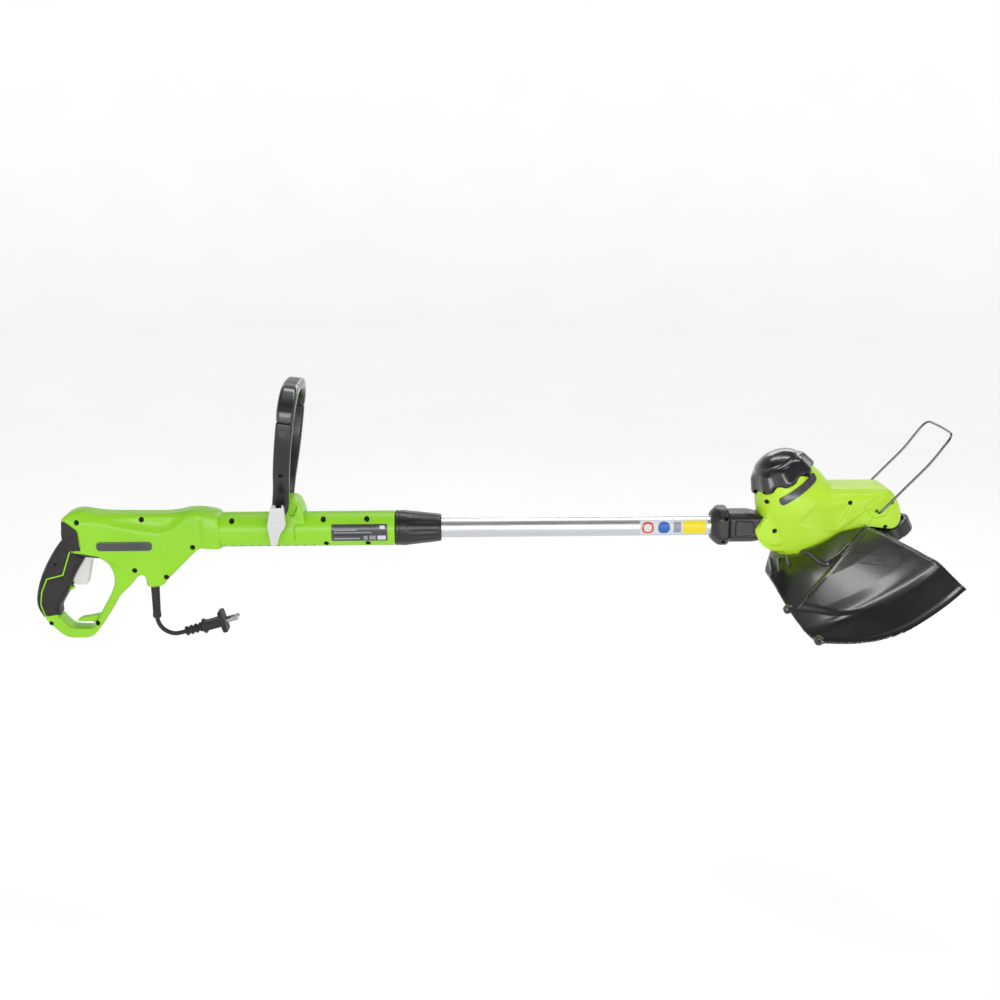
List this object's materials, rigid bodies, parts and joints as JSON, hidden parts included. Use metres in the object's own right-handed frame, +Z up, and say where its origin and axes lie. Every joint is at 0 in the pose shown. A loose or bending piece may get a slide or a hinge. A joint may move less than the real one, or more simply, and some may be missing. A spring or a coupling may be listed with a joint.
{
  "type": "string trimmer",
  "caption": "Corded string trimmer with a rear D-handle, a clamped loop handle, a telescoping shaft, a tilting motor head and a line guard.",
  "frame": {"origin": "middle of the rear grip in the middle plane, 75 mm under the shaft axis", "axes": "+X along the shaft towards the cutting head, +Z up, -Y on the side of the clamp lever"},
  "size_m": [1.1165, 0.37, 0.323],
  "materials": {
    "green_housing": "glossy bright green moulding",
    "lime_housing": "glossy yellowish lime moulding",
    "black_plastic": "fine-grained black moulding",
    "rubber": "soft brownish-grey grip rubber",
    "grey_plastic": "light grey moulding",
    "aluminium": "satin drawn tube",
    "steel": "bright zinc-plated or bare steel",
    "copper": "enamelled copper winding",
    "cord_sheath": "flexible black sheath",
    "line_nylon": "yellow-green nylon line"
  },
  "bodies": {
    "handle": {"housing_left": "green_housing", "housing_right": "green_housing", "housing_screw_1": "steel", "housing_screw_2": "steel", "grip_pad_left": "rubber", "grip_pad_right": "rubber", "trigger_pin": "steel", "trigger_spring": "steel", "switch_body": "black_plastic", "cord_clamp": "black_plastic", "badge_plate": "black_plastic", "rating_plate": "black_plastic", "cord_sleeve": "cord_sheath", "power_cord": "cord_sheath", "plug_body": "black_plastic", "plug_blade_left": "steel", "plug_blade_right": "steel", "barrel_bush": "black_plastic", "collet": "black_plastic"},
    "trigger": {"trigger": "grey_plastic"},
    "collar": {"lock_collar": "black_plastic"},
    "bracket": {"loop_bracket": "green_housing", "clamp_bolt": "steel", "lever_pin": "steel"},
    "loop": {"loop_frame": "black_plastic", "loop_grip": "rubber"},
    "lever": {"clamp_lever": "grey_plastic"},
    "shaft": {"shaft_tube": "aluminium", "tube_end_bush": "black_plastic", "swivel_ring": "steel", "motor_lead": "cord_sheath"},
    "neck": {"neck_left": "black_plastic", "neck_right": "black_plastic"},
    "head": {"head_shell_left": "lime_housing", "head_shell_right": "lime_housing", "motor_cap": "black_plastic", "head_badge": "black_plastic", "pivot_bolt": "steel", "motor_can": "steel", "lower_bearing": "steel", "upper_bearing": "steel", "guard": "black_plastic", "guard_screw_1": "steel", "guard_screw_2": "steel", "line_cutter": "steel", "wheel_axle": "steel"},
    "wire": {"wire_guide": "steel"},
    "wheel": {"edge_wheel": "black_plastic"},
    "rotor": {"motor_shaft": "steel", "armature": "copper", "commutator": "copper", "cooling_fan": "black_plastic", "spool_housing": "black_plastic", "spool": "black_plastic", "spool_spring": "steel", "line_end_1": "line_nylon", "line_end_2": "line_nylon"},
    "knob": {"bump_knob": "black_plastic"}
  },
  "joints": [
    {"name": "trigger_pull", "type": "hinge", "parent": "handle", "child": "trigger", "pos_m": [0.047, 0, 0.049], "axis": [0, 1, 0], "range_deg": [0, 9], "stiffness_Nm_per_rad": 0.6, "springref_deg": -5.73},
    {"name": "collar_twist", "type": "hinge", "parent": "handle", "child": "collar", "pos_m": [0.45, 0, 0.075], "axis": [1, 0, 0], "range_deg": [0, 80]},
    {"name": "bracket_slide", "type": "slide", "parent": "handle", "child": "bracket", "axis": [1, 0, 0], "range_m": [-0.06, 0.03]},
    {"name": "loop_tilt", "type": "hinge", "parent": "bracket", "child": "loop", "pos_m": [0.283, 0, 0.108], "axis": [0, 1, 0], "range_deg": [-45, 45]},
    {"name": "lever_swing", "type": "hinge", "parent": "bracket", "child": "lever", "pos_m": [0.283, -0.0415, 0.108], "axis": [-1, 0, 0], "range_deg": [0, 100]},
    {"name": "shaft_slide", "type": "slide", "parent": "handle", "child": "shaft", "axis": [1, 0, 0], "range_m": [0, 0.15]},
    {"name": "neck_twist", "type": "hinge", "parent": "shaft", "child": "neck", "pos_m": [0.86, 0, 0.075], "axis": [1, 0, 0], "range_deg": [0, 180]},
    {"name": "head_tilt", "type": "hinge", "parent": "neck", "child": "head", "pos_m": [0.886, 0, 0.074], "axis": [0, 1, 0], "range_deg": [0, 25]},
    {"name": "wire_flip", "type": "hinge", "parent": "head", "child": "wire", "pos_m": [1.0086, 0, 0.1002], "axis": [0, 1, 0], "range_deg": [-30, 55]},
    {"name": "wheel_spin", "type": "hinge", "parent": "head", "child": "wheel", "pos_m": [1.0377, 0, 0.0673], "axis": [-0.454, 0, 0.891], "continuous": true},
    {"name": "rotor_spin", "type": "hinge", "parent": "head", "child": "rotor", "pos_m": [0.9314, 0, 0.0732], "axis": [-0.454, 0, 0.891], "continuous": true},
    {"name": "knob_press", "type": "slide", "parent": "rotor", "child": "knob", "axis": [-0.454, 0, 0.891], "range_m": [0, 0.003], "stiffness_N_per_m": 1200, "springref_m": -0.003}
  ]
}
